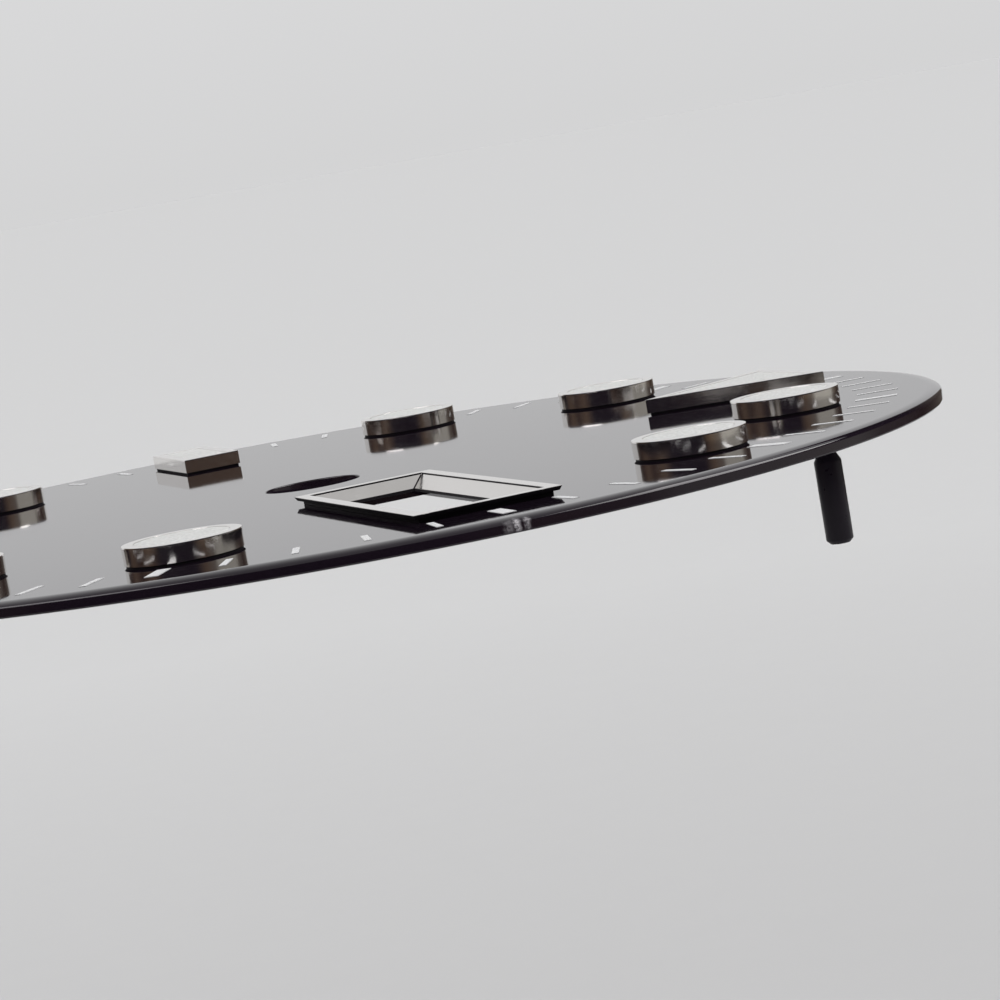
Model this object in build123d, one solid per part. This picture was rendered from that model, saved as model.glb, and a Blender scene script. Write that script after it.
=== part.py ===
"""Dial of a self-winding wristwatch with a day and date window: a lacquered plate with applied hour
markers that hold luminous fills, an applied window frame, and two feet on the back.

Millimetres. The origin is the centre of the plate's back face, on the axis of the centre hole.
+X points to 3 o'clock, +Y to 12 o'clock and +Z out of the face, towards whoever reads the watch.
"""

from build123d import *
import os
from math import cos, radians, sin

# Dial plate
dial_radius = 14.25
plate_thickness = 0.30
rim_round = 0.10
rim_break = 0.07
centre_hole_radius = 1.07

# Fits between the pieces
pin_clearance = 0.01
lume_clearance = 0.01
frame_clearance = 0.015
overrun = 0.2

# Hour markers, common to all: their outer ends stand on one circle
marker_edge_gap = 2.19
marker_wall = 0.24
marker_bevel = 0.03
seam_height = 0.05
seam_inset = 0.05
recess_depth = 0.22
pin_radius = 0.15

# Round markers, each on one pin
round_radius = 1.20
round_height = 0.42
round_lean = 0.04

# Bar markers, each on two pins
bar_length = 3.30
bar_width = 1.40
bar_height = 0.37
bar_pin_offset = 1.05

# Triangle marker at 12 o'clock, its tip towards the centre, on two pins
triangle_length = 3.78
triangle_width = 3.60
triangle_height = 0.37
triangle_pin_rise = 0.85
triangle_pin_offset = 0.75

# Window frame: a lip on a narrower neck, a skirt in the plate's aperture, and a funnel down to it
frame_edge_gap = 2.10
frame_length = 8.25
frame_width = 3.10
lip_thickness = 0.09
lip_bevel = 0.05
lip_flat = 0.28
neck_height = 0.09
neck_inset = 0.15
step_drop = 0.04
funnel_run = 0.32
funnel_depth = 0.10
skirt_wall = 0.24
skirt_depth = 0.16

# Feet, each welded by its stub to the floor of a shallow pocket in the plate's back
foot_edge_gap = 1.28
foot_angle = 38.4
foot_spread = 180.0
foot_radius = 0.285
foot_length = 2.10
foot_chamfer = 0.08
stub_radius = 0.12
stub_length = 0.08
cone_length = 0.30
pocket_radius = 0.45
pocket_depth = 0.10

# Worked out from the values above
face_z = plate_thickness
marker_circle = dial_radius - marker_edge_gap
foot_circle = dial_radius - foot_edge_gap
frame_centre_x = dial_radius - frame_edge_gap - frame_length / 2
funnel_inset = lip_flat + funnel_run
skirt_inset = funnel_inset - skirt_wall
frame_top_z = face_z + neck_height + lip_thickness


def marker_at(hour):
    """The kind of marker at an hour. 3 o'clock has the window instead."""
    if hour == 12:
        return "triangle"
    if hour in (6, 9):
        return "bar"
    return "none" if hour == 3 else "round"


def hours_with(kind):
    """The hours that one kind of marker stands at."""
    return [hour for hour in range(1, 13) if marker_at(hour) == kind]


def at_hour(shape, hour):
    """Turn a shape that was made at 3 o'clock, on +X, to another hour."""
    return Rot(0, 0, 90 - 30 * hour) * shape


def disc_turned(points):
    """Revolve a closed outline of (radius, height) points about Z."""
    outline = make_face(Plane.XZ * Polyline(*points, close=True))
    return revolve(outline, Axis.Z)


def marker_pin(grow=0.0):
    """A pin through the whole plate, or with grow the tool for its hole."""
    past = overrun if grow else 0
    length = plate_thickness + 2 * past
    pin = Cylinder(pin_radius + grow, length, align=(Align.CENTER, Align.CENTER, Align.MIN))
    return Pos(0, 0, -past) * pin


def round_marker_pins():
    """Pin place under a round marker at 3 o'clock."""
    return [(marker_circle - round_radius, 0)]


def bar_marker_pins():
    """Pin places under a bar marker at 3 o'clock."""
    centre = marker_circle - bar_length / 2
    return [(centre - bar_pin_offset, 0), (centre + bar_pin_offset, 0)]


def triangle_marker_pins():
    """Pin places under the triangle marker at 3 o'clock."""
    x = marker_circle - triangle_pin_rise
    return [(x, -triangle_pin_offset), (x, triangle_pin_offset)]


def copies_at(places, shape):
    """One copy of a shape at each place."""
    return [Pos(x, y, 0) * shape for x, y in places]


def all_pin_holes():
    """Every pin hole of the plate."""
    places = {"round": round_marker_pins(), "bar": bar_marker_pins(), "triangle": triangle_marker_pins()}
    hole = marker_pin(pin_clearance)
    tools = []
    for kind, pins in places.items():
        for hour in hours_with(kind):
            tools += [at_hour(tool, hour) for tool in copies_at(pins, hole)]
    return tools


def foot_places():
    """Centres of the two feet."""
    angles = (radians(foot_angle), radians(foot_angle + foot_spread))
    return [(foot_circle * cos(angle), foot_circle * sin(angle)) for angle in angles]


def aperture():
    """The tool for the window's hole in the plate."""
    grown = 2 * frame_clearance - 2 * skirt_inset
    hole = Rectangle(frame_length + grown, frame_width + grown)
    tall = extrude(hole, plate_thickness + 2 * overrun)
    return Pos(frame_centre_x, 0, -overrun) * tall


def dial_plate():
    """The plate with its rounded rim, centre hole, window hole, pin holes and foot pockets."""
    plate = Cylinder(dial_radius, plate_thickness, align=(Align.CENTER, Align.CENTER, Align.MIN))
    plate = fillet(plate.edges().sort_by(Axis.Z)[-1], rim_round)
    plate = chamfer(plate.edges().sort_by(Axis.Z)[0], rim_break)
    plate -= Cylinder(centre_hole_radius, 2 * (plate_thickness + overrun))
    plate -= aperture()
    plate -= all_pin_holes()
    plate -= copies_at(foot_places(), Cylinder(pocket_radius, 2 * pocket_depth))
    return plate


def round_cup():
    """A round marker at 3 o'clock: a turned cup, a little narrower at its foot, on its pin."""
    top = face_z + round_height
    base_radius = round_radius - round_lean
    recess_radius = round_radius - marker_wall
    floor = top - recess_depth
    cup = disc_turned([
        (0, face_z),
        (base_radius - seam_inset, face_z),
        (base_radius, face_z + seam_height),
        (round_radius, top),
        (recess_radius, top),
        (recess_radius, floor),
        (0, floor),
    ])
    cup = Pos(marker_circle - round_radius, 0, 0) * cup
    return cup + copies_at(round_marker_pins(), marker_pin())


def round_lume():
    """The fill of a round marker at 3 o'clock, level with its rim."""
    radius = round_radius - marker_wall - lume_clearance
    fill = Cylinder(radius, recess_depth, align=(Align.CENTER, Align.CENTER, Align.MIN))
    return Pos(marker_circle - round_radius, 0, face_z + round_height - recess_depth) * fill


def bar_outline(inset=0.0):
    """Outline of a bar marker at 3 o'clock, drawn in by inset."""
    outline = Rectangle(bar_length - 2 * inset, bar_width - 2 * inset)
    return Pos(marker_circle - bar_length / 2, 0, 0) * outline


def triangle_outline(inset=0.0):
    """Outline of the triangle marker at 3 o'clock, drawn in by inset."""
    tip = (marker_circle - triangle_length, 0)
    base = (marker_circle, triangle_width / 2)
    other = (marker_circle, -triangle_width / 2)
    outline = make_face(Polyline(tip, base, other, close=True))
    return offset(outline, -inset, kind=Kind.INTERSECTION) if inset else outline


def straight_cup(outline, height, pins):
    """A marker with straight sides over any outline, its recess, its foot seam and its pins."""
    body = Pos(0, 0, face_z + seam_height) * extrude(outline(), height - seam_height)
    body = chamfer(body.faces().sort_by(Axis.Z)[-1].outer_wire().edges(), marker_bevel)
    body += Pos(0, 0, face_z) * extrude(outline(seam_inset), seam_height)
    floor = face_z + height - recess_depth
    recess = Pos(0, 0, floor) * extrude(outline(marker_wall), recess_depth + overrun)
    return body - recess + copies_at(pins, marker_pin())


def straight_lume(outline, height):
    """The fill of a marker with straight sides, level with its rim."""
    fill = extrude(outline(marker_wall + lume_clearance), recess_depth)
    return Pos(0, 0, face_z + height - recess_depth) * fill


def frame_outline(inset, z):
    """The window frame's outline, drawn in by inset, at a height."""
    return Pos(frame_centre_x, 0, z) * Rectangle(frame_length - 2 * inset, frame_width - 2 * inset)


def day_date_frame():
    """The window's frame: lip, neck and skirt, with a funnel of four sloping walls through them."""
    skirt_z = face_z - skirt_depth
    step_z = frame_top_z - step_drop
    lip = loft([frame_outline(lip_bevel, face_z + neck_height), frame_outline(0, frame_top_z)])
    neck = extrude(frame_outline(neck_inset, face_z), neck_height)
    skirt = extrude(frame_outline(skirt_inset, skirt_z), skirt_depth)
    step = extrude(frame_outline(lip_flat, step_z), step_drop + overrun)
    funnel = loft([frame_outline(funnel_inset, face_z - funnel_depth), frame_outline(lip_flat, step_z)])
    throat = extrude(frame_outline(funnel_inset, skirt_z - overrun), skirt_depth + overrun)
    return lip + neck + skirt - step - funnel - throat


def dial_foot():
    """A foot: a weld stub in its pocket, a cone out to the pin, and a chamfered free end."""
    return disc_turned([
        (0, pocket_depth),
        (stub_radius, pocket_depth),
        (stub_radius, -stub_length),
        (foot_radius, -stub_length - cone_length),
        (foot_radius, foot_chamfer - foot_length),
        (foot_radius - foot_chamfer, -foot_length),
        (0, -foot_length),
    ])


def all_nodes():
    """Every piece under its node's name."""
    nodes = {"dial_plate": dial_plate(), "day_date_frame": day_date_frame()}
    for hour in hours_with("round"):
        nodes[f"round_marker_{hour:02d}"] = at_hour(round_cup(), hour)
        nodes[f"lume_round_{hour:02d}"] = at_hour(round_lume(), hour)
    for hour in hours_with("bar"):
        cup = straight_cup(bar_outline, bar_height, bar_marker_pins())
        nodes[f"bar_marker_{hour:02d}"] = at_hour(cup, hour)
        nodes[f"lume_bar_{hour:02d}"] = at_hour(straight_lume(bar_outline, bar_height), hour)
    for hour in hours_with("triangle"):
        cup = straight_cup(triangle_outline, triangle_height, triangle_marker_pins())
        nodes[f"triangle_marker_{hour}"] = at_hour(cup, hour)
        nodes[f"lume_triangle_{hour}"] = at_hour(straight_lume(triangle_outline, triangle_height), hour)
    for number, (x, y) in enumerate(foot_places(), start=1):
        nodes[f"dial_foot_{number}"] = Pos(x, y, 0) * dial_foot()
    return nodes


os.makedirs("parts", exist_ok=True)
for name, shape in all_nodes().items():
    export_step(shape, f"parts/{name}.step")
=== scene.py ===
# %% [markdown]
# # A watch dial, dressed for the camera
# The dial was first drawn as solids, and those solids come in here as a fixed frame. This lesson puts the
# finer look over them: softly rounded lacquer, turned and polished markers, grained luminous fills and
# printed minute strokes. Each new piece takes the place of the solid that it stands for.

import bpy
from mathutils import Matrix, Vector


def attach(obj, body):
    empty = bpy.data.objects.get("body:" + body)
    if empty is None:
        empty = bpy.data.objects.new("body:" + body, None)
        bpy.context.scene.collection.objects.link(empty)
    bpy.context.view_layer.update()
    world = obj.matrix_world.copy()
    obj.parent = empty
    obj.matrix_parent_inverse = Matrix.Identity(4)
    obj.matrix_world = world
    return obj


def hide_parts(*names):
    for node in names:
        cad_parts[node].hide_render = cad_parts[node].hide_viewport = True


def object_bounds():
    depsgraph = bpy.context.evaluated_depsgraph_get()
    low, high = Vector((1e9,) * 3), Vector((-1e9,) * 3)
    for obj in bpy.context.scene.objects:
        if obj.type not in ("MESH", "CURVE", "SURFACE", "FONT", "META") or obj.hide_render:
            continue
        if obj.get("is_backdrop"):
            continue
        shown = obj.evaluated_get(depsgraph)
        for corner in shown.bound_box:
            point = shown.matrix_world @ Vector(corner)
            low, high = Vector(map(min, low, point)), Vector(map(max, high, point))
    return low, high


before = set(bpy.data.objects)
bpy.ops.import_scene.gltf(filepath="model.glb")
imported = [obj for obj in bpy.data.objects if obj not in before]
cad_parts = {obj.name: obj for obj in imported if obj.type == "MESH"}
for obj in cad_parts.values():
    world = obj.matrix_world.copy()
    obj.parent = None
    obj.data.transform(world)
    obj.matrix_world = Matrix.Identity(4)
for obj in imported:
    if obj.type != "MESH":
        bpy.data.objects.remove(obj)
cad_low, cad_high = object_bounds()
print("solids loaded:", len(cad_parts))

# %% [markdown]
# ## Units and the tools of Python
# Everything is in metres, in the frame of the solids: the origin is the centre of the plate's back face,
# +X points to 3 o'clock, +Y to 12 o'clock and +Z out of the face. A dial is thought of in millimetres, so
# each size is written in millimetres and multiplied by MM. Two heights that differ by less than a hair, a
# thousandth of a millimetre, count as the same.

# %% Units
import bmesh
import bpy
from math import atan2, cos, degrees, radians, sin
from mathutils import Matrix, Vector

MM = 0.001
UP = Vector((0, 0, 1))
hair = 0.001 * MM

dial_radius = 14.25 * MM
face_z = 0.30 * MM
print("dial", 2 * dial_radius / MM, "mm across, face at", face_z / MM, "mm")

# %% [markdown]
# ## The camera comes first
# The photograph looks along the face from near 3 o'clock, only five degrees above it, with a long lens that
# is held a little rolled. The eye stands on a sphere round the centre of the face. The pan and the tilt then
# turn the lens off that centre, which puts the 12 o'clock side in the picture and lets the 6 o'clock side
# run out of it. The lens and its sensor are given in plain millimetres, as on a real camera.

# %% Camera
face_centre = Vector((0, 0, face_z))
eye_azimuth = radians(-15.632)
eye_elevation = radians(5.290)
eye_distance = 78.223 * MM
pan = radians(-3.024)
tilt = radians(0.795)
roll = radians(-9.791)
focal_length_mm = 124.53
sensor_width_mm = 36
near_clip = 1 * MM
far_clip = 20


def direction(azimuth, elevation):
    """A unit vector from the centre towards an azimuth, turned from +X, and an elevation."""
    level = Vector((cos(azimuth), sin(azimuth), 0))
    return level * cos(elevation) + UP * sin(elevation)


eye = face_centre + direction(eye_azimuth, eye_elevation) * eye_distance
forward = -direction(eye_azimuth + pan, eye_elevation + tilt)
level_right = forward.cross(UP).normalized()
level_up = level_right.cross(forward)
right = level_right * cos(roll) + level_up * sin(roll)
upward = level_up * cos(roll) - level_right * sin(roll)

camera_data = bpy.data.cameras.new("photo_camera")
camera_data.lens = focal_length_mm
camera_data.sensor_width = sensor_width_mm
camera_data.clip_start = near_clip
camera_data.clip_end = far_clip
camera = bpy.data.objects.new("photo_camera", camera_data)
camera.matrix_world = Matrix.Translation(eye) @ Matrix((right, upward, -forward)).transposed().to_4x4()
bpy.context.scene.collection.objects.link(camera)
bpy.context.scene.camera = camera
bpy.context.scene.view_settings.view_transform = "Standard"
print("eye at", [round(c / MM, 2) for c in eye], "mm")

# %% [markdown]
# ## Helpers for materials
# A material is a small network of nodes. These helpers add a node, set its sockets and join two sockets, so
# that each finish below reads as a short list. Noise is measured in grains per millimetre, because that is
# how one looks at a polished or printed surface with a loupe.

# %% Node helpers
def add_node(tree, kind, **sockets):
    """Add a node of a kind and set its named sockets."""
    node = tree.nodes.new(kind)
    for name, value in sockets.items():
        node.inputs[name.replace("_", " ")].default_value = value
    return node


def new_finish(name, **sockets):
    """A material with one Principled shader, and its tree, shader and object coordinates."""
    material = bpy.data.materials.new(name)
    material.use_nodes = True
    tree = material.node_tree
    shader = tree.nodes["Principled BSDF"]
    for socket, value in sockets.items():
        shader.inputs[socket.replace("_", " ")].default_value = value
    place = add_node(tree, "ShaderNodeTexCoord").outputs["Object"]
    return material, tree, shader, place


def new_glow(name):
    """A material that only sheds its own colour, and its tree and emission node."""
    material = bpy.data.materials.new(name)
    material.use_nodes = True
    tree = material.node_tree
    tree.nodes.clear()
    glow = add_node(tree, "ShaderNodeEmission", Strength=1.0)
    out = add_node(tree, "ShaderNodeOutputMaterial")
    tree.links.new(glow.outputs[0], out.inputs["Surface"])
    return material, tree, glow


def noise(tree, place, per_mm, detail, rough=0.5):
    """Soft noise with about so many grains in a millimetre."""
    grains = add_node(tree, "ShaderNodeTexNoise", Scale=per_mm / MM, Detail=detail, Roughness=rough)
    tree.links.new(place, grains.inputs["Vector"])
    return grains.outputs["Fac"]


def spread(tree, value, low, high, to_low=0.0, to_high=1.0):
    """Stretch a value from one range to another, held at its ends."""
    ranged = add_node(tree, "ShaderNodeMapRange", From_Min=low, From_Max=high, To_Min=to_low, To_Max=to_high)
    tree.links.new(value, ranged.inputs["Value"])
    return ranged.outputs["Result"]


def blend_colours(tree, share, first, second):
    """A colour that goes from the first to the second as the share goes from 0 to 1."""
    mix = tree.nodes.new("ShaderNodeMix")
    mix.data_type = "RGBA"
    tree.links.new(share, mix.inputs[0])
    for socket, colour in ((mix.inputs[6], first), (mix.inputs[7], second)):
        if isinstance(colour, tuple):
            socket.default_value = (*colour, 1)
        else:
            tree.links.new(colour, socket)
    return mix.outputs[2]


def bump(tree, shader, height, distance, strength, under=None):
    """Raise and sink the surface by a height, over a distance in metres, on any bump under it."""
    node = add_node(tree, "ShaderNodeBump", Strength=strength, Distance=distance)
    tree.links.new(height, node.inputs["Height"])
    if under is not None:
        tree.links.new(under, node.inputs["Normal"])
    tree.links.new(node.outputs["Normal"], shader.inputs["Normal"])
    return node.outputs["Normal"]


def arithmetic(tree, kind, first, second=0.0):
    """A sum, product or other operation on a socket and, if it takes two, a socket or number."""
    node = tree.nodes.new("ShaderNodeMath")
    node.operation = kind
    tree.links.new(first, node.inputs[0])
    if isinstance(second, (int, float)):
        node.inputs[1].default_value = second
    else:
        tree.links.new(second, node.inputs[1])
    return node.outputs[0]


print("node helpers ready")

# %% [markdown]
# ## The studio
# The photograph has one plain pale background, and the gloss face mirrors it at a low angle. So the world
# shows that pale tone to the camera and to reflections, while the light that it sheds on matt surfaces is
# set apart, at a plain level. Soft suns on both sides give the floor its shadow.

# %% World
backdrop_low = (0.656, 0.656, 0.660)
backdrop_high = (0.712, 0.712, 0.719)
ceiling = (0.50, 0.50, 0.505)
backdrop_full_at = 0.10
ceiling_from = 0.30
ceiling_full_at = 0.90
fill_strength = 0.40

world = bpy.data.worlds.new("pale_studio")
world.use_nodes = True
bpy.context.scene.world = world
sky = world.node_tree
sky.nodes.clear()
look = add_node(sky, "ShaderNodeTexCoord").outputs["Generated"]
parts_of_look = add_node(sky, "ShaderNodeSeparateXYZ")
sky.links.new(look, parts_of_look.inputs[0])
height_of_look = parts_of_look.outputs["Z"]
up_the_wall = spread(sky, height_of_look, 0.0, backdrop_full_at)
wall = blend_colours(sky, up_the_wall, backdrop_low, backdrop_high)
overhead = spread(sky, height_of_look, ceiling_from, ceiling_full_at)
room = blend_colours(sky, overhead, wall, ceiling)
seen = add_node(sky, "ShaderNodeBackground", Strength=1.0)
sky.links.new(room, seen.inputs["Color"])
shed = add_node(sky, "ShaderNodeBackground", Color=(1, 1, 1, 1), Strength=fill_strength)
rays = add_node(sky, "ShaderNodeLightPath").outputs
shows = arithmetic(sky, "ADD", rays["Is Camera Ray"], rays["Is Glossy Ray"])
shows = arithmetic(sky, "ADD", shows, rays["Is Transmission Ray"])
either = add_node(sky, "ShaderNodeMixShader")
sky.links.new(arithmetic(sky, "MINIMUM", shows, 1.0), either.inputs[0])
sky.links.new(shed.outputs[0], either.inputs[1])
sky.links.new(seen.outputs[0], either.inputs[2])
out = add_node(sky, "ShaderNodeOutputWorld")
sky.links.new(either.outputs[0], out.inputs["Surface"])
print("world lit at", fill_strength)

# %% [markdown]
# A sun lamp sheds the same light everywhere, so the floor stays even right to its horizon. Its width is an
# angle, and a wide sun is a soft one. A sun would mirror as a plain round disc, though, and a softbox is a
# square of cloth. So the suns stay out of reflections, and a lit card stands for each of them there. A card
# is made by an operator, and operators work on what is selected, so it starts with nothing selected.

# %% Soft sun lamps
card_distance = 300 * MM


def begin():
    """Leave edit mode and select nothing."""
    if bpy.context.mode != "OBJECT":
        bpy.ops.object.mode_set(mode="OBJECT")
    bpy.ops.object.select_all(action="DESELECT")


def show_in_reflections_alone(card):
    """Hide a card from the camera, from matt surfaces and from shadows."""
    card.visible_camera = False
    card.visible_diffuse = False
    card.visible_shadow = False
    card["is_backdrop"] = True


def soft_sun(name, azimuth, elevation, width, strength):
    """A sun that shines from an azimuth and elevation, as wide as an angle."""
    data = bpy.data.lights.new(name, "SUN")
    data.energy = strength
    data.angle = radians(width)
    lamp = bpy.data.objects.new(name, data)
    lamp.rotation_mode = "QUATERNION"
    lamp.rotation_quaternion = direction(radians(azimuth), radians(elevation)).to_track_quat("Z", "Y")
    lamp.visible_glossy = False
    bpy.context.scene.collection.objects.link(lamp)


def lit_card(name, azimuth, elevation, width, height, colour):
    """A card that shows in reflections alone, like the front cloth of a softbox."""
    facing = direction(radians(azimuth), radians(elevation))
    begin()
    bpy.ops.mesh.primitive_plane_add(size=1, location=facing * card_distance)
    card = bpy.context.object
    card.name = name
    card.scale = (width, height, 1)
    card.rotation_mode = "QUATERNION"
    card.rotation_quaternion = facing.to_track_quat("Z", "Y")
    cloth, tree, glow = new_glow(name + "_cloth")
    glow.inputs["Color"].default_value = (*colour, 1)
    card.data.materials.append(cloth)
    show_in_reflections_alone(card)


soft_sun("right_softbox", azimuth=62, elevation=44, width=50, strength=1.75)
soft_sun("left_softbox", azimuth=-100, elevation=44, width=50, strength=0.85)
lit_card("right_softbox_card", azimuth=80, elevation=42,
         width=300 * MM, height=220 * MM, colour=(4.2, 4.1, 4.1))
lit_card("left_softbox_card", azimuth=-80, elevation=44,
         width=280 * MM, height=200 * MM, colour=(3.2, 3.1, 3.2))
print("two soft suns and their cards")

# %% [markdown]
# ## Floor
# The floor lies well under the dial, which floats in the photograph. It reaches so far that its edge melts
# into the world, whose low tone it shares. Its tone sinks a little towards the middle, as the photograph's
# background does towards its lower edge.

# %% Floor
floor_z = -26 * MM
floor_reach = 6.0
shade_tone_beneath = (0.590, 0.588, 0.592)
tone_beyond = (0.682, 0.682, 0.686)
shade_beneath_ends = 55 * MM
beyond_begins = 170 * MM

begin()
bpy.ops.mesh.primitive_plane_add(size=2 * floor_reach, location=(0, 0, floor_z))
floor = bpy.context.object
floor.name = "pale_floor"
floor_paint, tree, shader, place = new_finish("pale_floor_paint", Roughness=0.9, Specular_IOR_Level=0.0)
reach = add_node(tree, "ShaderNodeVectorMath")
reach.operation = "LENGTH"
tree.links.new(place, reach.inputs[0])
# Painted shade: the floor's colour is darker round the middle, beneath the dial, and pales to its even tone
# further out.
far = spread(tree, reach.outputs["Value"], shade_beneath_ends, beyond_begins)
tone = blend_colours(tree, far, shade_tone_beneath, tone_beyond)
mottle = noise(tree, place, per_mm=0.4, detail=3.0)
grain = blend_colours(tree, mottle, (0.985, 0.985, 0.985), (1.0, 1.0, 1.0))
speckled = tree.nodes.new("ShaderNodeMix")
speckled.data_type = "RGBA"
speckled.blend_type = "MULTIPLY"
speckled.inputs[0].default_value = 1.0
tree.links.new(tone, speckled.inputs[6])
tree.links.new(grain, speckled.inputs[7])
tree.links.new(speckled.outputs[2], shader.inputs["Base Color"])
floor.data.materials.append(floor_paint)
floor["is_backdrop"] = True
print("floor at", floor_z / MM, "mm")

# %% [markdown]
# ## The dark room
# The polished sides that face the camera are dark brown and black in the photograph, because they mirror
# the room behind the photographer. A curved screen stands for that room. It starts as an open cylinder, and
# the part of it that would hide the pale backdrop is deleted. It is painted by its azimuth: black behind
# the camera, warm browns beside it, and one pale strip on the right, where the lower edge of a softbox
# shows. Above the height of a table the room fades to black, and that is what a steep facet mirrors. The
# two heights of that fade are taken from the middle of the screen.

# %% Dark screen
screen_radius = 160 * MM
screen_height = 130 * MM
screen_middle = (0, 0, screen_height / 2 + floor_z)
screen_from = -152
screen_to = 142
lit_below = -10 * MM
dark_above = 20 * MM

begin()
bpy.ops.mesh.primitive_cylinder_add(vertices=180, radius=screen_radius, depth=screen_height,
                                    end_fill_type="NOTHING", location=screen_middle)
screen = bpy.context.object
screen.name = "dark_screen"
bpy.ops.object.mode_set(mode="EDIT")
bpy.ops.mesh.select_all(action="DESELECT")
mesh = bmesh.from_edit_mesh(screen.data)
for face in mesh.faces:
    middle = face.calc_center_median()
    azimuth = degrees(atan2(middle.y, middle.x))
    face.select_set(not screen_from < azimuth < screen_to)
bmesh.update_edit_mesh(screen.data)
bpy.ops.mesh.delete(type="FACE")
bpy.ops.object.mode_set(mode="OBJECT")

room_paint, tree, glow = new_glow("dark_room_paint")
split = add_node(tree, "ShaderNodeSeparateXYZ")
tree.links.new(add_node(tree, "ShaderNodeTexCoord").outputs["Object"], split.inputs[0])
around = arithmetic(tree, "ARCTAN2", split.outputs["Y"], split.outputs["X"])
along = spread(tree, around, radians(-180), radians(180))
tones = tree.nodes.new("ShaderNodeValToRGB")
tree.links.new(along, tones.inputs["Fac"])
black = (0.010, 0.008, 0.011)
dark_brown = (0.040, 0.025, 0.018)
brown = (0.105, 0.072, 0.050)
warm_grey = (0.13, 0.11, 0.095)
pale_grey = (0.37, 0.355, 0.325)
room_tones = [
    (-152, warm_grey),
    (-140, dark_brown),
    (-122, brown),
    (-104, dark_brown),
    (-80, brown),
    (-58, black),
    (4, black),
    (20, brown),
    (38, warm_grey),
    (46, pale_grey),
    (88, pale_grey),
    (98, warm_grey),
    (118, dark_brown),
    (142, warm_grey),
]
ramp = tones.color_ramp
for number, (azimuth, colour) in enumerate(room_tones):
    position = (azimuth + 180) / 360
    stop = ramp.elements[number] if number < 2 else ramp.elements.new(position)
    stop.position = position
    stop.color = (*colour, 1)
dim = spread(tree, split.outputs["Z"], lit_below, dark_above)
shaded = blend_colours(tree, dim, tones.outputs["Color"], black)
tree.links.new(shaded, glow.inputs["Color"])
screen.data.materials.append(room_paint)
show_in_reflections_alone(screen)
print("screen with", len(room_tones), "tones")

# %% [markdown]
# ## The lacquer
# The plate is brass under many coats of black lacquer, polished until it mirrors. Black lacquer has almost
# no colour of its own. What one sees is its clear skin: faint at a steep angle and strong along the face,
# which the index of 1.5 gives by itself. A very low orange peel keeps the mirror from looking like glass,
# and a few specks of dust lie on it. Where the rim was knocked, near 3 o'clock, three smears of bare metal
# show, each given by its place along the rim, half its width and its strength.

# %% Black lacquer
lacquer, tree, shader, place = new_finish("black_lacquer_gloss", Roughness=0.045, IOR=1.5)
wine = noise(tree, place, per_mm=0.25, detail=3.0)
ground = blend_colours(tree, wine, (0.0100, 0.0062, 0.0108), (0.0130, 0.0083, 0.0140))
dust = add_node(tree, "ShaderNodeTexVoronoi", Scale=0.55 / MM, Randomness=1.0)
tree.links.new(place, dust.inputs["Vector"])
speck = spread(tree, dust.outputs["Distance"], 0.016, 0.030, to_low=1.0, to_high=0.0)
rare = spread(tree, noise(tree, place, per_mm=0.37, detail=0.0), 0.58, 0.62)
speck = arithmetic(tree, "MULTIPLY", speck, rare)
dusty = blend_colours(tree, speck, ground, (0.42, 0.42, 0.42))

knock_smears = [
    (-0.37 * MM, 0.110 * MM, 0.28),
    (-0.215 * MM, 0.065 * MM, 1.0),
    (-0.010 * MM, 0.060 * MM, 0.60),
]
waver = 0.16 * MM
sides_of_place = add_node(tree, "ShaderNodeSeparateXYZ")
tree.links.new(place, sides_of_place.inputs[0])
at_rim = spread(tree, sides_of_place.outputs["X"], 14.08 * MM, 14.20 * MM)
above = spread(tree, sides_of_place.outputs["Z"], 0.01 * MM, 0.08 * MM)
below = spread(tree, sides_of_place.outputs["Z"], 0.22 * MM, 0.29 * MM, to_low=1.0, to_high=0.0)
ragged = arithmetic(tree, "MULTIPLY", noise(tree, place, per_mm=8.0, detail=5.0, rough=0.7), waver)
wavering = arithmetic(tree, "ADD", sides_of_place.outputs["Y"], ragged)
wavering = arithmetic(tree, "SUBTRACT", wavering, waver / 2)
knocked = None
for smear_y, half_width, strength in knock_smears:
    off = arithmetic(tree, "SUBTRACT", wavering, smear_y)
    off = arithmetic(tree, "ABSOLUTE", off)
    smear = spread(tree, off, 0.2 * half_width, 1.4 * half_width, to_low=strength, to_high=0.0)
    knocked = smear if knocked is None else arithmetic(tree, "MAXIMUM", knocked, smear)
patchy = spread(tree, noise(tree, place, per_mm=16.0, detail=4.0, rough=0.7), 0.32, 0.60)
for limit in (at_rim, above, below, patchy):
    knocked = arithmetic(tree, "MULTIPLY", knocked, limit)
bare = blend_colours(tree, knocked, dusty, (0.62, 0.59, 0.62))
tree.links.new(bare, shader.inputs["Base Color"])
shine = spread(tree, noise(tree, place, per_mm=1.2, detail=4.0), 0.3, 0.7, to_low=0.035, to_high=0.060)
dulled = arithmetic(tree, "MAXIMUM", shine, arithmetic(tree, "MULTIPLY", knocked, 0.38))
dulled = arithmetic(tree, "MAXIMUM", dulled, arithmetic(tree, "MULTIPLY", speck, 0.7))
tree.links.new(dulled, shader.inputs["Roughness"])
peel = bump(tree, shader, noise(tree, place, per_mm=1.6, detail=1.0), 0.004 * MM, strength=0.10)
bump(tree, shader, knocked, 0.012 * MM, strength=0.6, under=peel)
print("lacquer ready")
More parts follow.
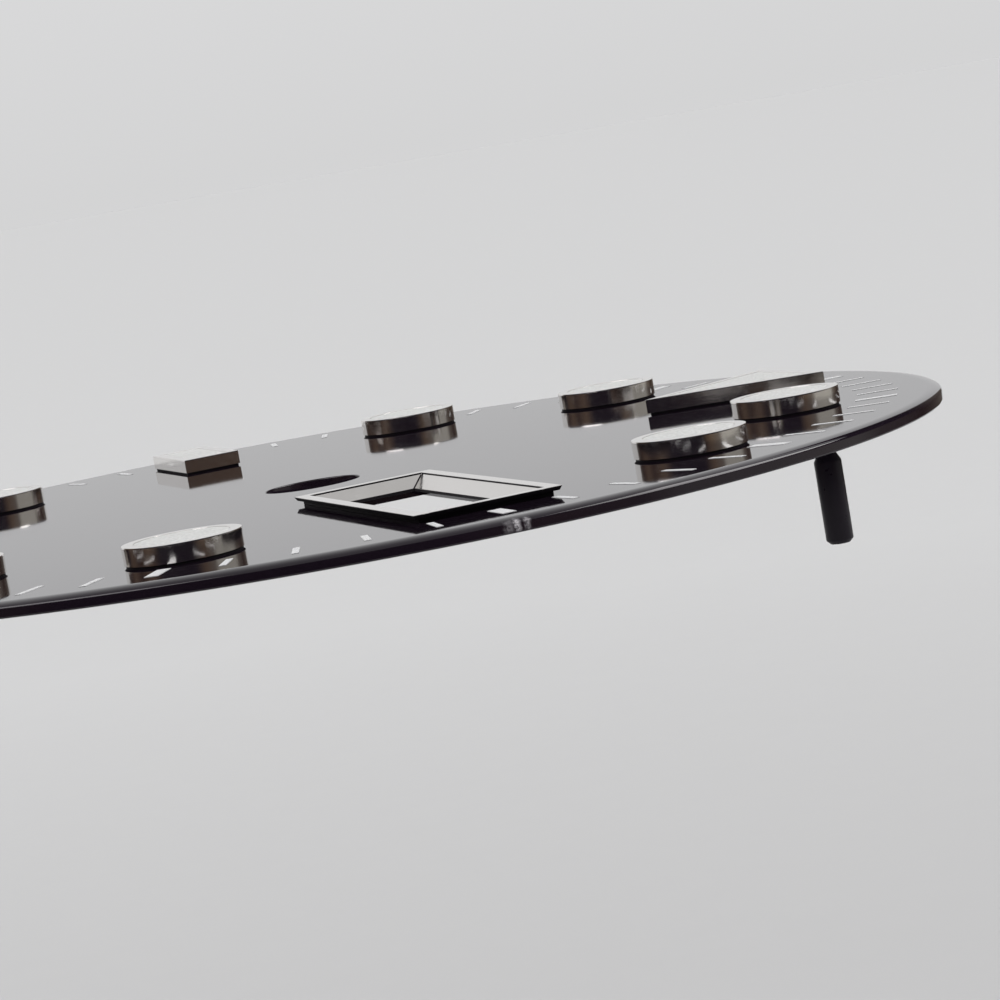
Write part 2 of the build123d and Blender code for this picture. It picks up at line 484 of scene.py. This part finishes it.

# %% [markdown]
# ## Painted shade in the seams and grooves
# Under the markers and round the window frame there are seams, a neck and grooves where shade falls. They
# get a matt black coat of painted shade. It has to be matt: the gloss lacquer would mirror the pale backdrop
# there, and the thin black outlines that the dial shows would be lost.

# %% Matt black of painted shade
shade_coat, tree, shader, place = new_finish("matt_black_shade_coat", Roughness=0.6, Specular_IOR_Level=0.12)
shade_mottle = noise(tree, place, per_mm=6.0, detail=4.0)
# Painted shade: a near-black matt colour for the seams, neck, step and grooves where shade falls.
shade_coat_tone = blend_colours(tree, shade_mottle, (0.0060, 0.0048, 0.0064), (0.0105, 0.0080, 0.0110))
tree.links.new(shade_coat_tone, shader.inputs["Base Color"])
bump(tree, shader, noise(tree, place, per_mm=24.0, detail=3.0), 0.003 * MM, strength=0.4)
print("matt coat ready")

# %% [markdown]
# ## Helpers for modelling
# The pieces are modelled as by hand. A primitive is put in at its size, its place is moved into its mesh,
# and edit mode then extrudes, insets and scales it. Faces are picked by what one would look for by eye:
# their height and the way they face.

# %% Modelling helpers
doubles_distance = 0.00001 * MM


def take_in(name):
    """Name the new primitive and move its place into its mesh, so that it sits at the origin."""
    piece = bpy.context.object
    piece.name = name
    piece.data.name = name
    bpy.ops.object.transform_apply(location=True, rotation=True, scale=True)
    return piece


def work_on(*pieces):
    """Select these pieces, the last one active."""
    begin()
    for piece in pieces:
        piece.select_set(True)
    bpy.context.view_layer.objects.active = pieces[-1]


def pick(piece, kind, wanted):
    """In edit mode, select the faces or the edges that pass a test, and say how many."""
    bpy.ops.mesh.select_all(action="DESELECT")
    mesh = bmesh.from_edit_mesh(piece.data)
    elements = {"faces": mesh.faces, "edges": mesh.edges}[kind]
    chosen = [element for element in elements if wanted(element)]
    for element in chosen:
        element.select_set(True)
    bmesh.update_edit_mesh(piece.data)
    return len(chosen)


def faces_up(face):
    """True for a level face that is seen from above."""
    return face.normal.z > 0.9


def faces_down(face):
    """True for a level face that is seen from below."""
    return face.normal.z < -0.9


def extrude_by(rise):
    """Extrude the selected faces along Z."""
    bpy.ops.mesh.extrude_region_move(TRANSFORM_OT_translate={"value": (0, 0, rise)})


def lift_by(rise):
    """Move what is selected along Z."""
    bpy.ops.transform.translate(value=(0, 0, rise))


def merge_doubles():
    """Merge all points of the mesh that touch."""
    bpy.ops.mesh.select_all(action="SELECT")
    bpy.ops.mesh.remove_doubles(threshold=doubles_distance)


def close_up():
    """Merge what touches, turn every face outwards and leave edit mode."""
    merge_doubles()
    bpy.ops.mesh.normals_make_consistent(inside=False)
    bpy.ops.object.mode_set(mode="OBJECT")


def smooth(piece, angle):
    """Shade smooth up to an angle, and keep flat faces flat next to their rounded edges."""
    work_on(piece)
    bpy.ops.object.shade_smooth_by_angle(angle=radians(angle))
    level = piece.modifiers.new("level_faces", "WEIGHTED_NORMAL")
    level.keep_sharp = True
    level.weight = 100
    bpy.ops.object.modifier_apply(modifier="level_faces")


def round_edges(piece, width, angle):
    """Round each edge that turns by more than an angle, in two steps."""
    work_on(piece)
    rounding = piece.modifiers.new("round_edges", "BEVEL")
    rounding.width = width
    rounding.segments = 2
    rounding.limit_method = "ANGLE"
    rounding.angle_limit = radians(angle)
    bpy.ops.object.modifier_apply(modifier="round_edges")


def second_finish(piece, material, wanted):
    """Give the faces that pass a test another finish, and say how many."""
    piece.data.materials.append(material)
    chosen = [face for face in piece.data.polygons if wanted(face)]
    for face in chosen:
        face.material_index = 1
    return len(chosen)


def count(piece):
    """How many faces a piece has, for the printed lines."""
    return f"{piece.name}: {len(piece.data.polygons)} faces"


print("modelling helpers ready")

# %% [markdown]
# Round pieces come off a lathe. Here the lathe is a disc that is extruded upwards ring by ring, each ring
# scaled to its radius: the same profile one would turn. It could also be a spun outline, but growing it from
# a disc closes both ends with a flat face and leaves no seam.

# %% A lathe by hand
def turned(name, axis, rings, sides):
    """Grow a round piece upwards through rings of (radius, height) round an axis at (x, y)."""
    x, y = axis
    radius, z = rings[0]
    begin()
    bpy.ops.mesh.primitive_circle_add(vertices=sides, radius=radius, fill_type="NGON", location=(x, y, z))
    piece = take_in(name)
    bpy.ops.object.mode_set(mode="EDIT")
    bpy.ops.mesh.select_all(action="SELECT")
    for next_radius, next_z in rings[1:]:
        extrude_by(next_z - z)
        factor = next_radius / radius
        bpy.ops.transform.resize(value=(factor, factor, 1), center_override=(x, y, next_z))
        radius, z = next_radius, next_z
    close_up()
    return piece


print("lathe ready")

# %% [markdown]
# ## The plate
# The real plate is stamped and drilled, and its lacquer pulls into a soft roll at the rim. It is modelled
# on the lathe, with many sides. The lower rim has a small break and the upper one a long low roll: a
# quarter of an ellipse, much wider than it is deep, so that the mirrored backdrop fades slowly over it, as
# it does in the photograph. Cutters then take out the holes, as a drill and a punch do.

# %% Plate blank
roll_run = 0.34 * MM
roll_drop = 0.12 * MM
rim_break = 0.03 * MM
roll_steps = 12
plate_rings = [
    (dial_radius - 2 * rim_break, 0),
    (dial_radius - rim_break, 0),
    (dial_radius - 0.3 * rim_break, 0.3 * rim_break),
    (dial_radius, rim_break),
    (dial_radius, 1.3 * rim_break),
]
for step in range(roll_steps, -1, -1):
    lean = radians(90) * step / roll_steps
    plate_rings.append((dial_radius - roll_run * (1 - sin(lean)), face_z - roll_drop * (1 - cos(lean))))
plate_rings.append((dial_radius - 1.1 * roll_run, face_z))
plate = turned("lacquered_plate", (0, 0), plate_rings, sides=512)
print(count(plate))

# %% [markdown]
# The centre hole passes the tubes that carry the hands, the long hole shows day and date, and small holes
# take the pins of the markers. In the back, a shallow round pocket surrounds each foot's weld. All the
# cutters are joined and taken away in one Boolean step.

# %% Plate holes
centre_hole_radius = 1.07 * MM
marker_circle = 12.06 * MM
round_radius = 1.20 * MM
frame_x = 8.025 * MM
frame_length = 8.25 * MM
frame_width = 3.10 * MM
window_inset = 0.345 * MM
foot_circle = 12.97 * MM
foot_azimuths = (radians(38.4), radians(218.4))
pocket_radius = 0.45 * MM
pocket_depth = 0.10 * MM
through = 1 * MM
pin_radius = 0.15 * MM
pin_play = 0.01 * MM


def hour_turn(hour):
    """The turn about the dial's axis that takes 3 o'clock to an hour."""
    return radians(90 - 30 * hour)


def turned_place(x, y, turn):
    """A place turned about the dial's axis."""
    return (x * cos(turn) - y * sin(turn), x * sin(turn) + y * cos(turn))


round_hours = (1, 2, 4, 5, 7, 8, 10, 11)
bar_hours = (6, 9)
round_pin_places = [(marker_circle - round_radius, 0)]
bar_pin_places = [(9.36 * MM, 0), (11.46 * MM, 0)]
triangle_pin_places = [(11.21 * MM, -0.75 * MM), (11.21 * MM, 0.75 * MM)]
foot_places = [(foot_circle * cos(azimuth), foot_circle * sin(azimuth)) for azimuth in foot_azimuths]
pin_holes = [turned_place(x, y, hour_turn(hour)) for hour in round_hours for x, y in round_pin_places]
pin_holes += [turned_place(x, y, hour_turn(hour)) for hour in bar_hours for x, y in bar_pin_places]
pin_holes += [turned_place(x, y, hour_turn(12)) for x, y in triangle_pin_places]


def drill(x, y, radius, low, high, sides):
    """A round cutter between two heights."""
    begin()
    middle = (x, y, (low + high) / 2)
    bpy.ops.mesh.primitive_cylinder_add(vertices=sides, radius=radius, depth=high - low, location=middle)
    return take_in("cutter")


cutters = [drill(0, 0, centre_hole_radius, -through, through, sides=128)]
cutters += [drill(x, y, pin_radius + pin_play, -through, through, sides=24) for x, y in pin_holes]
cutters += [drill(x, y, pocket_radius, -through, pocket_depth, sides=48) for x, y in foot_places]
begin()
bpy.ops.mesh.primitive_cube_add(size=1, location=(frame_x, 0, 0))
punch = bpy.context.object
punch.scale = (frame_length - 2 * window_inset, frame_width - 2 * window_inset, 2 * through)
cutters.append(take_in("cutter"))
work_on(*cutters)
bpy.ops.object.join()
cutter = bpy.context.object

work_on(plate)
cut = plate.modifiers.new("cut", "BOOLEAN")
cut.operation = "DIFFERENCE"
cut.solver = "EXACT"
cut.object = cutter
bpy.ops.object.modifier_apply(modifier="cut")
bpy.data.objects.remove(cutter)
print(count(plate), "after", len(cutters), "cutters")

# %% [markdown]
# Lacquer never leaves a knife edge at a hole, so the mouth of the centre hole is rolled over as well.

# %% Rolled mouth of the centre hole
mouth_roll = 0.035 * MM


def on_centre_mouth(edge):
    """True for an edge of the centre hole that lies in the face."""
    ring = [Vector(v.co.xy).length for v in edge.verts]
    level_with_face = all(abs(v.co.z - face_z) < hair for v in edge.verts)
    return level_with_face and all(abs(r - centre_hole_radius) < 4 * hair for r in ring)


work_on(plate)
bpy.ops.object.mode_set(mode="EDIT")
mouth = pick(plate, "edges", on_centre_mouth)
bpy.ops.mesh.bevel(offset=mouth_roll, segments=3, affect="EDGES")
close_up()
smooth(plate, angle=30)
plate.data.materials.append(lacquer)
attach(plate, "root")
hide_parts("dial_plate")
print("mouth edges rolled:", mouth, count(plate))

# %% [markdown]
# ## Polished metal
# The markers and the window frame are diamond-cut and polished, then coated so that they stay bright. A
# polished metal is almost all reflection, so its detail lies in how even that reflection is: very fine
# cutting lines, a slight cloudiness, and a warm grey tint.

# %% Polished metal
metal, tree, shader, place = new_finish("polished_metal_cut", Metallic=1.0, Roughness=0.07)
cloud = noise(tree, place, per_mm=1.4, detail=4.0)
tint = blend_colours(tree, cloud, (0.80, 0.775, 0.745), (0.86, 0.84, 0.82))
tree.links.new(tint, shader.inputs["Base Color"])
veil = noise(tree, place, per_mm=5.0, detail=5.0, rough=0.6)
haze = spread(tree, veil, 0.3, 0.75, to_low=0.09, to_high=0.18)
tree.links.new(haze, shader.inputs["Roughness"])
lines = add_node(tree, "ShaderNodeMapping")
lines.inputs["Scale"].default_value = (1.0, 1.0, 18.0)
tree.links.new(place, lines.inputs["Vector"])
cuts = noise(tree, lines.outputs["Vector"], per_mm=1.5, detail=2.0)
bump(tree, shader, cuts, 0.004 * MM, strength=0.10)
print("polished metal ready")

# %% [markdown]
# ## Luminous fill
# The fill is a paste of coarse pigment that sets matt and slightly crowned. Under a loupe it is all grain:
# pale crystals with darker hollows. Three sizes of noise give the crystals, the hollows and a slow change of
# tone, and the same grain raises the surface.

# %% Luminous fill
fill, tree, shader, place = new_finish("white_luminous_grain", Roughness=0.85, Specular_IOR_Level=0.25)
grain = noise(tree, place, per_mm=16.0, detail=3.0, rough=0.65)
clumps = noise(tree, place, per_mm=4.0, detail=2.0)
cast = noise(tree, place, per_mm=0.8, detail=1.0)
pale = blend_colours(tree, cast, (0.73, 0.735, 0.72), (0.79, 0.79, 0.785))
grainy = blend_colours(tree, spread(tree, grain, 0.30, 0.62), (0.54, 0.54, 0.53), pale)
tree.links.new(grainy, shader.inputs["Base Color"])
coarse = bump(tree, shader, clumps, 0.010 * MM, strength=0.10)
bump(tree, shader, grain, 0.006 * MM, strength=0.30, under=coarse)
print("luminous fill ready")

# %% [markdown]
# ## Round markers
# Each round marker is a turned cup: a thin undercut at its foot, an upright side, a steep narrow facet, a
# flat ring, and the wall of the recess. The facet leans back just enough to mirror the dark room, so it
# draws a black line round the pale ring. The undercut gets the matt black of painted shade and reads as
# a black seam. The end of its pin is upset a little over the plate's back. One marker is made at 3 o'clock,
# pin and all, and copied to its eight hours, each copy with a mesh of its own.

# %% Round marker
seam_height = 0.046 * MM
seam_inset = 0.035 * MM
cup_top = 0.72 * MM
cup_base_radius = 1.196 * MM
cup_wall = 0.24 * MM
recess_depth = 0.22 * MM
corner = 0.004 * MM
facet_run = 0.007 * MM
facet_rise = 0.024 * MM
cup_profile = [
    (cup_base_radius - seam_inset, face_z),
    (cup_base_radius - seam_inset, face_z + seam_height),
    (cup_base_radius - corner, face_z + seam_height),
    (cup_base_radius, face_z + seam_height + corner),
    (round_radius, cup_top - facet_rise),
    (round_radius - facet_run, cup_top - 0.3 * corner),
    (round_radius - facet_run - corner, cup_top),
    (round_radius - cup_wall + corner, cup_top),
    (round_radius - cup_wall + 0.3 * corner, cup_top - 0.3 * corner),
    (round_radius - cup_wall, cup_top - corner),
    (round_radius - cup_wall, cup_top - recess_depth),
]
pin_profile = [
    (0.11 * MM, -0.012 * MM),
    (pin_radius, -0.004 * MM),
    (pin_radius, 0.004 * MM),
    (pin_radius, face_z + 0.02 * MM),
]


def in_seam(face):
    """True for a face of the seam under a marker."""
    return face_z + hair < face.center.z < face_z + seam_height + hair


def dress_cup(cup, pin_places):
    """Join a marker's pins to it, smooth it, and give it its metal and the painted shade of its seam."""
    pins = [turned("pin", place_of_pin, pin_profile, sides=32) for place_of_pin in pin_places]
    work_on(*pins, cup)
    bpy.ops.object.join()
    smooth(cup, angle=15)
    cup.data.materials.append(metal)
    # The seam under the marker gets the matt black of painted shade.
    second_finish(cup, shade_coat, in_seam)
    print(count(cup))


cup_axis = (marker_circle - round_radius, 0)
cup = turned("round_cup", cup_axis, cup_profile, sides=128)
dress_cup(cup, round_pin_places)

# %% [markdown]
# The fill of a round marker is crowned like a drop: highest in the middle, and level with the metal at its
# edge.

# %% Round fill
fill_radius = 0.9595 * MM
fill_round = 0.012 * MM
crown = 0.022 * MM
fill_edge_z = cup_top - 0.006 * MM
fill_profile = [
    (fill_radius, cup_top - recess_depth),
    (fill_radius, fill_edge_z - fill_round),
    (0.985 * fill_radius, fill_edge_z),
    (0.94 * fill_radius, fill_edge_z + 0.25 * crown),
    (0.84 * fill_radius, fill_edge_z + 0.50 * crown),
    (0.68 * fill_radius, fill_edge_z + 0.74 * crown),
    (0.48 * fill_radius, fill_edge_z + 0.90 * crown),
    (0.24 * fill_radius, fill_edge_z + 0.98 * crown),
    (0.05 * fill_radius, fill_edge_z + crown),
]
drop = turned("round_fill", cup_axis, fill_profile, sides=96)
smooth(drop, angle=50)
drop.data.materials.append(fill)
print(count(drop))

# %% [markdown]
# One cup and one fill serve eight hours. Each copy gets a mesh of its own and is turned about the dial's
# axis. The turn is then moved into the mesh, so that every finished piece sits unturned at the origin.

# %% Copies at the hours
def copy_to_hour(model, hour, name):
    """A copy of a piece made at 3 o'clock, with its own mesh, turned to an hour."""
    copy = model.copy()
    copy.data = model.data.copy()
    copy.name = name
    copy.data.name = name
    bpy.context.scene.collection.objects.link(copy)
    copy.rotation_euler.z = hour_turn(hour)
    work_on(copy)
    bpy.ops.object.transform_apply(location=True, rotation=True, scale=True)
    return copy


def set_marker(model, hour, name, node):
    """Stand a copy at its hour, in place of its solid."""
    piece = copy_to_hour(model, hour, name)
    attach(piece, "root")
    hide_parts(node)


for hour in round_hours:
    set_marker(cup, hour, f"round_cup_{hour:02d}", f"round_marker_{hour:02d}")
    set_marker(drop, hour, f"round_fill_{hour:02d}", f"lume_round_{hour:02d}")
bpy.data.objects.remove(cup)
bpy.data.objects.remove(drop)
print("round markers at", round_hours)

# %% [markdown]
# ## Bar and triangle markers
# These are cut from strip rather than turned, but they are built up alike: a foot set in for the seam, the
# body, the steep facet, then a recess sunk into the top. The bar starts from a cube and the triangle from a
# cylinder with three sides, each scaled to its outline. Inset and extrude do the rest, and a bevel rounds
# each edge. For the fill, all faces but the inset one are deleted. That is done in face mode, because in
# vertex mode the ring round it shares its corners and would stay.

# %% Marker with straight sides
straight_top = 0.67 * MM
body_low = face_z + seam_height
body_high = straight_top - facet_rise
body_middle = (body_high + body_low) / 2
strip_fill_play = 0.003 * MM
strip_fill_drop = 0.008 * MM
crown_steps = [(0.06 * MM, 0.010 * MM), (0.14 * MM, 0.007 * MM)]


def strip_marker(blank):
    """Inset and sink a recess in a blank's top, draw in its foot for the seam, and round its edges."""
    work_on(blank)
    bpy.ops.object.mode_set(mode="EDIT")
    pick(blank, "faces", faces_up)
    bpy.ops.mesh.inset(thickness=facet_run)
    lift_by(facet_rise)
    bpy.ops.mesh.inset(thickness=cup_wall - facet_run)
    extrude_by(-recess_depth)
    pick(blank, "faces", faces_down)
    bpy.ops.mesh.inset(thickness=seam_inset)
    extrude_by(-seam_height)
    close_up()
    round_edges(blank, corner, angle=35)


def strip_fill(blank, name):
    """The crowned fill of a strip marker, from a copy of its blank."""
    fill_piece = blank.copy()
    fill_piece.data = blank.data.copy()
    fill_piece.name = name
    bpy.context.scene.collection.objects.link(fill_piece)
    work_on(fill_piece)
    bpy.ops.object.mode_set(mode="EDIT")
    bpy.ops.mesh.select_mode(type="FACE")
    pick(fill_piece, "faces", faces_up)
    bpy.ops.mesh.inset(thickness=cup_wall + strip_fill_play)
    bpy.ops.mesh.select_all(action="INVERT")
    bpy.ops.mesh.delete(type="FACE")
    bpy.ops.mesh.select_mode(type="VERT")
    bpy.ops.mesh.select_all(action="SELECT")
    lift_by(facet_rise - recess_depth)
    extrude_by(recess_depth - strip_fill_drop)
    for run, rise in crown_steps:
        bpy.ops.mesh.inset(thickness=run)
        lift_by(rise)
    close_up()
    round_edges(fill_piece, fill_round, angle=50)
    smooth(fill_piece, angle=50)
    fill_piece.data.materials.append(fill)
    return fill_piece


print("strip markers top out at", straight_top / MM, "mm")

# %% [markdown]
# The bar is a cube that is scaled to its outline. Its fill is taken from the plain block, before the recess
# is sunk and the edges are rounded.

# %% Bar markers
bar_length = 3.30 * MM
bar_width = 1.40 * MM
begin()
bpy.ops.mesh.primitive_cube_add(size=1, location=(marker_circle - bar_length / 2, 0, body_middle))
bpy.context.object.scale = (bar_length, bar_width, body_high - body_low)
bar = take_in("bar_cup")
bar_fill = strip_fill(bar, "bar_fill")
strip_marker(bar)
dress_cup(bar, bar_pin_places)
for hour in bar_hours:
    set_marker(bar, hour, f"bar_cup_{hour:02d}", f"bar_marker_{hour:02d}")
    set_marker(bar_fill, hour, f"bar_fill_{hour:02d}", f"lume_bar_{hour:02d}")
print(count(bar_fill), "at", bar_hours)
bpy.data.objects.remove(bar)
bpy.data.objects.remove(bar_fill)

# %% [markdown]
# A cylinder with three sides has its corners on a circle, one of them at the top of the view. It is turned
# so that this corner points to the dial's centre, and scaled to the triangle's length and width.

# %% Triangle marker
triangle_length = 3.78 * MM
triangle_width = 3.60 * MM
begin()
bpy.ops.mesh.primitive_cylinder_add(vertices=3, radius=1, depth=1, rotation=(0, 0, radians(90)))
triangle = take_in("triangle_cup")
triangle.scale = (triangle_length / 1.5, triangle_width / 3 ** 0.5, body_high - body_low)
triangle.location = (marker_circle - triangle_length / 3, 0, body_middle)
take_in("triangle_cup")
low_corner = min(v.co.x for v in triangle.data.vertices)
high_corner = max(v.co.x for v in triangle.data.vertices)
print("triangle from", round(low_corner / MM, 3), "to", round(high_corner / MM, 3), "mm")
triangle_fill = strip_fill(triangle, "triangle_fill")
strip_marker(triangle)
dress_cup(triangle, triangle_pin_places)
set_marker(triangle, 12, "triangle_cup_12", "triangle_marker_12")
set_marker(triangle_fill, 12, "triangle_fill_12", "lume_triangle_12")
print(count(triangle_fill))
bpy.data.objects.remove(triangle)
bpy.data.objects.remove(triangle_fill)

# %% [markdown]
# ## The window frame
# The frame round the day and date window is one pressed and polished piece: a flat lip that overhangs a
# narrower neck, a small step, and four walls that slope down to the window. It is built from one block. The
# underside is inset and extruded for the neck and the skirt, the top is inset, stepped down and drawn in for
# the slope, and the last two faces meet and are taken out, which opens the window.

# %% Window frame
lip_top = 0.48 * MM
lip_low = 0.39 * MM
lip_bevel = 0.05 * MM
lip_to_neck = 0.10 * MM
neck_to_skirt = 0.21 * MM
skirt_wall = 0.24 * MM
lip_flat = 0.28 * MM
step_drop = 0.04 * MM
funnel_inset = 0.60 * MM
funnel_low = 0.20 * MM
skirt_low = 0.14 * MM
mitre_groove = 0.024 * MM
frame_round = 0.010 * MM


def scaled_to(inset_from, inset_to):
    """The scale that takes the frame's outline at one inset to the outline at another."""
    long_way = (frame_length - 2 * inset_to) / (frame_length - 2 * inset_from)
    short_way = (frame_width - 2 * inset_to) / (frame_width - 2 * inset_from)
    return (long_way, short_way, 1)


def on_mitre(edge):
    """True for one of the four sloping corner edges of the funnel."""
    low, high = sorted(v.co.z for v in edge.verts)
    return abs(low - funnel_low) < 5 * hair and abs(high - lip_top + step_drop) < 5 * hair


begin()
bpy.ops.mesh.primitive_cube_add(size=1, location=(frame_x, 0, (lip_top + lip_low) / 2))
bpy.context.object.scale = (frame_length, frame_width, lip_top - lip_low)
window = take_in("window_frame")
bpy.ops.object.mode_set(mode="EDIT")
pick(window, "faces", faces_down)
bpy.ops.transform.resize(value=scaled_to(0, lip_bevel), center_override=(frame_x, 0, lip_low))
bpy.ops.mesh.inset(thickness=lip_to_neck)
extrude_by(face_z - lip_low)
bpy.ops.mesh.inset(thickness=neck_to_skirt)
extrude_by(skirt_low - face_z)
bpy.ops.mesh.inset(thickness=skirt_wall)
bpy.ops.mesh.delete(type="FACE")
pick(window, "faces", faces_up)
bpy.ops.mesh.inset(thickness=lip_flat)
extrude_by(-step_drop)
extrude_by(funnel_low - lip_top + step_drop)
bpy.ops.transform.resize(value=scaled_to(lip_flat, funnel_inset), center_override=(frame_x, 0, funnel_low))
extrude_by(skirt_low - funnel_low)
bpy.ops.mesh.delete(type="FACE")
merge_doubles()
mitres = pick(window, "edges", on_mitre)
bpy.ops.mesh.bevel(offset=mitre_groove, segments=1, affect="EDGES")
close_up()
round_edges(window, frame_round, angle=25)
smooth(window, angle=30)
window.data.materials.append(metal)
print("mitres:", mitres)

# %% [markdown]
# The polish is on what one sees from above: the lip and the four slopes. The undercut edge of the lip, the
# neck, the thin wall of the step, the grooves of the mitres and the inside of the skirt get a matt black of
# painted shade, which outlines the frame sharply. In the grooves of the mitres it stands for dirt as well.

# %% Painted shade on the window frame
throat_high = funnel_low + 6 * hair
lip_side_high = lip_top - 12 * hair
step_high = lip_top - 0.9 * step_drop
step_low = lip_top - step_drop


def gets_painted_shade(face):
    """True for the faces that get painted shade: the lip's edge, the neck, the step wall, the mitres and the
    skirt's inside.
    """
    height = face.center.z
    outer_side = Vector((face.center.x - frame_x, face.center.y)).dot(face.normal.xy) > 0
    in_throat = height < throat_high
    under_lip = height < lip_side_high and (outer_side or face.normal.z < -0.7)
    step_wall = height > step_high and not outer_side and abs(face.normal.z) < 0.9
    skewed = abs(face.normal.x) > 0.2 and abs(face.normal.y) > 0.2
    mitre = skewed and height < step_low and not outer_side
    return in_throat or under_lip or step_wall or mitre


# The lip's edge, neck, step wall, mitres and throat get the matt black of painted shade, with dirt in the
# mitres too.
print("black faces:", second_finish(window, shade_coat, gets_painted_shade))
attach(window, "root")
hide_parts("day_date_frame")
print(count(window))

# %% [markdown]
# ## Feet
# Two round feet reach into the movement, where screws grip them. Each is turned with a chamfered end, and
# its narrow stub is welded to the floor of its pocket, which leaves a small fillet of melted metal. The foot
# in the photograph is nearly black, with a satin skin that catches a little grey light on one side.

# %% Dark satin metal of the feet
foot_metal, tree, shader, place = new_finish("dark_foot_satin", Roughness=0.34, Specular_IOR_Level=0.2)
cloud = noise(tree, place, per_mm=2.2, detail=4.0)
skin = blend_colours(tree, cloud, (0.0075, 0.0048, 0.0095), (0.0115, 0.0080, 0.0135))
tree.links.new(skin, shader.inputs["Base Color"])
rub = spread(tree, noise(tree, place, per_mm=6.0, detail=4.0), 0.3, 0.7, to_low=0.26, to_high=0.44)
tree.links.new(rub, shader.inputs["Roughness"])
rings = add_node(tree, "ShaderNodeMapping")
rings.inputs["Scale"].default_value = (0.6, 0.6, 14.0)
tree.links.new(place, rings.inputs["Vector"])
bump(tree, shader, noise(tree, rings.outputs["Vector"], per_mm=1.4, detail=2.0), 0.004 * MM, strength=0.10)
print("foot metal ready")

# %% [markdown]
# The foot's profile runs upwards from its free end to the fillet of melted metal round its stub. Both feet
# are turned from it, each round its own axis.

# %% Feet
foot_radius = 0.285 * MM
foot_profile = [
    (foot_radius - 0.08 * MM, -2.10 * MM),
    (foot_radius - 0.008 * MM, -2.028 * MM),
    (foot_radius, -2.010 * MM),
    (foot_radius, -0.40 * MM),
    (foot_radius - 0.006 * MM, -0.372 * MM),
    (0.135 * MM, -0.10 * MM),
    (0.120 * MM, -0.06 * MM),
    (0.120 * MM, 0.06 * MM),
    (0.150 * MM, 0.085 * MM),
    (0.210 * MM, 0.101 * MM),
]
for number, place_of_foot in enumerate(foot_places, start=1):
    foot = turned(f"foot_{number}", place_of_foot, foot_profile, sides=64)
    smooth(foot, angle=35)
    foot.data.materials.append(foot_metal)
    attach(foot, "root")
    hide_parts(f"dial_foot_{number}")
    print(count(foot))

# %% [markdown]
# ## Minute strokes
# The minute track is printed with white ink through a pad. The ink stands a few thousandths of a millimetre
# proud, with sloping flanks. A stroke is a thin slab with its top drawn in. There is a broad stroke at each
# fifth minute, and fine ones between.

# %% White ink
ink, tree, shader, place = new_finish("white_ink", Roughness=0.55, Specular_IOR_Level=0.4)
worn = spread(tree, noise(tree, place, per_mm=22.0, detail=3.0, rough=0.6), 0.35, 0.55)
opacity = blend_colours(tree, worn, (0.60, 0.60, 0.61), (0.80, 0.80, 0.81))
tree.links.new(opacity, shader.inputs["Base Color"])
bump(tree, shader, noise(tree, place, per_mm=30.0, detail=2.0), 0.002 * MM, strength=0.4)
print("ink ready")

# %% [markdown]
# Two strokes are modelled at 3 o'clock, a fine one and a broad one, and are copied to the sixty minutes. The
# copies are then joined into one track.

# %% Minute track
track_inner = 12.38 * MM
track_outer = 13.30 * MM
ink_height = 0.008 * MM
ink_flank = 0.012 * MM
fine_width = 0.14 * MM
broad_width = 0.28 * MM


def stroke(inner, outer, width):
    """A stroke of ink at 3 o'clock, from one radius to another."""
    begin()
    bpy.ops.mesh.primitive_plane_add(size=1, location=((inner + outer) / 2, 0, face_z))
    bpy.context.object.scale = (outer - inner, width, 1)
    slab = take_in("stroke")
    bpy.ops.object.mode_set(mode="EDIT")
    bpy.ops.mesh.select_all(action="SELECT")
    extrude_by(ink_height)
    bpy.ops.mesh.inset(thickness=ink_flank)
    close_up()
    return slab


fine_stroke = stroke(track_inner, track_outer, fine_width)
broad_stroke = stroke(track_inner, track_outer, broad_width)
strokes = []
for minute in range(60):
    model = broad_stroke if minute % 5 == 0 else fine_stroke
    strokes.append(copy_to_hour(model, minute / 5, "minute_stroke"))
work_on(*strokes)
bpy.ops.object.join()
track = bpy.context.object
track.name = "minute_track"
for model in (fine_stroke, broad_stroke):
    bpy.data.objects.remove(model)
smooth(track, angle=30)
track.data.materials.append(ink)
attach(track, "root")
print(count(track))

# %% [markdown]
# ## Last measurements
# The dressed dial must fill the same box as the solids.

# %% Finish
begin()
seen_low, seen_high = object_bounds()
boxes = {"cad": [list(cad_low), list(cad_high)], "visual": [list(seen_low), list(seen_high)]}
for box_name, box in boxes.items():
    print(box_name, "box in mm:", [[round(c / MM, 3) for c in corner_point] for corner_point in box])
